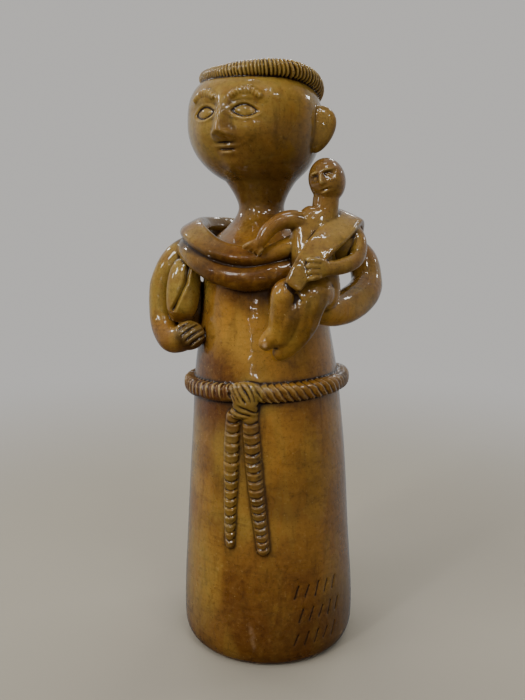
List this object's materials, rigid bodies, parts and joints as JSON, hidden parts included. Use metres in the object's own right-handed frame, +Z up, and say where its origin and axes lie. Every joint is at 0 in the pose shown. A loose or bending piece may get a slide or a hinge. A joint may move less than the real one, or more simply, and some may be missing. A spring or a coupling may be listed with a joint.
{
  "type": "ceramic folk figure",
  "caption": "Hand-built glazed earthenware figure of a standing friar in a cowl and rope belt, carrying a small child on an arm.",
  "frame": {"origin": "on the flat underside, about 1 mm from the middle of the foot", "axes": "+Z up along the figure's height; the friar faces -Y; +X is to the right of someone who faces the figure"},
  "size_m": [0.1425, 0.1224, 0.3498],
  "materials": {
    "glazed_clay": "glossy honey-brown lead-type glaze, darker where it pools"
  },
  "bodies": {
    "root": {"friar_with_child": "glazed_clay"}
  },
  "joints": []
}
